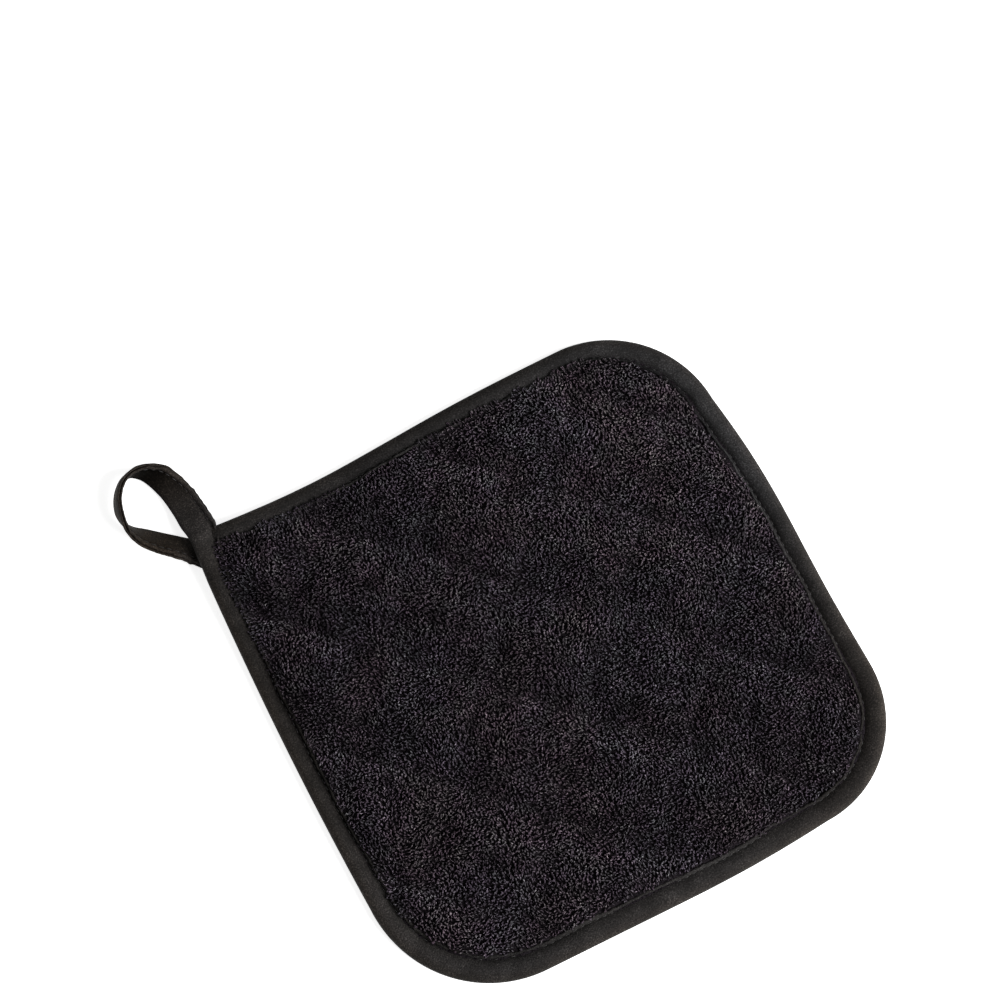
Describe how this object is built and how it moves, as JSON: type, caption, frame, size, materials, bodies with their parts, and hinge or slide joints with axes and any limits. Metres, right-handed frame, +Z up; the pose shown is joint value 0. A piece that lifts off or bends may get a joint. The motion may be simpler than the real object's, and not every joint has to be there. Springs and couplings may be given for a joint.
{
  "type": "quilted pot holder",
  "caption": "Square quilted pot holder with a terry face, a silver coated back, a taped edge with rounded corners and a hanging loop at one corner.",
  "frame": {"origin": "the middle of the pad on the flat it rests on, where the middle pillow of the back touches the table", "axes": "+Z up out of the terry face, X and Y along the pad's sides, the hanging loop at the -X, +Y corner"},
  "size_m": [0.2242, 0.2382, 0.0112],
  "materials": {
    "terry": "near-black cotton terry, looped pile, fully matt",
    "silver_cloth": "silver coated cotton, satin, quilted in diamonds",
    "binding_tape": "black cotton twill tape, matt",
    "loop_tape": "black cotton twill tape, folded and stitched, matt"
  },
  "bodies": {
    "root": {"terry_face": "terry", "silver_back": "silver_cloth", "edge_binding": "binding_tape", "hanging_loop": "loop_tape"}
  },
  "joints": []
}
